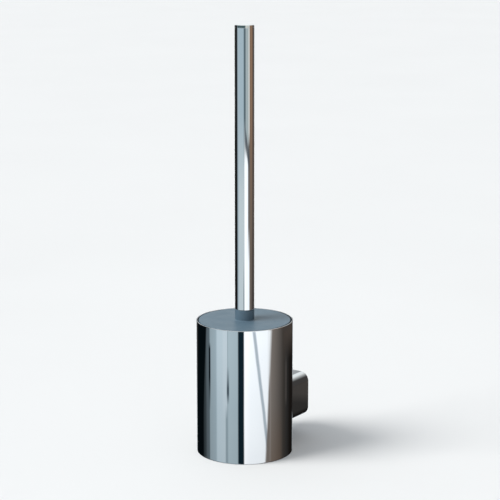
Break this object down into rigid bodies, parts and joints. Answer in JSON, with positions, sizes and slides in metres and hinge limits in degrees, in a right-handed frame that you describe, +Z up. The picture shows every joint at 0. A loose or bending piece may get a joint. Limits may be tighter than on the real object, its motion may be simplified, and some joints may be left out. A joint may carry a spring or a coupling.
{
  "type": "toilet brush holder",
  "caption": "Wall-hung toilet brush holder: polished cylindrical cup on a square post, lift-out inner pot, and a brush with a flat lid and a long tubular handle.",
  "frame": {"origin": "centre of the wall block's back face, on the wall", "axes": "+Y into the wall, so the cup stands out along -Y; +Z up along the cup and handle; +X to the right seen from the room"},
  "size_m": [0.09, 0.125, 0.4],
  "materials": {
    "chrome": "mirror-polished chrome plate",
    "lid_plastic": "fine-grained matt moulding, anthracite",
    "pot_plastic": "matt moulding, dark grey",
    "acetal": "smooth natural acetal",
    "rubber": "matt soft rubber",
    "steel": "fine-turned stainless steel",
    "zinc": "as-cast light metal, lightly blasted",
    "bristle": "stiff nylon filament, semi-matt black"
  },
  "bodies": {
    "holder": {"wall_block": "zinc", "post": "chrome", "set_screw": "steel", "saddle_gasket": "rubber", "cup": "chrome", "cup_screws": "steel", "cup_washers": "steel"},
    "pot": {"pot": "pot_plastic", "pot_feet": "rubber", "damping_ring": "rubber"},
    "lid": {"lid": "lid_plastic", "lid_bush": "acetal"},
    "brush": {"handle_tube": "chrome", "handle_cap": "chrome", "handle_plug": "pot_plastic", "stem": "steel", "retaining_ring": "steel", "lock_nut": "steel", "head_core": "pot_plastic", "tufts_tip": "bristle", "tufts_row_1": "bristle", "tufts_row_2": "bristle", "tufts_row_3": "bristle", "tufts_row_4": "bristle", "tufts_row_5": "bristle", "tufts_row_6": "bristle"}
  },
  "joints": [
    {"name": "pot_lift", "type": "slide", "parent": "holder", "child": "pot", "axis": [0, 0, 1], "range_m": [0, 0.135]},
    {"name": "brush_lift", "type": "slide", "parent": "pot", "child": "lid", "axis": [0, 0, 1], "range_m": [0, 0.13]},
    {"name": "brush_spin", "type": "hinge", "parent": "lid", "child": "brush", "pos_m": [0, -0.08, 0.1], "axis": [0, 0, 1], "continuous": true}
  ]
}
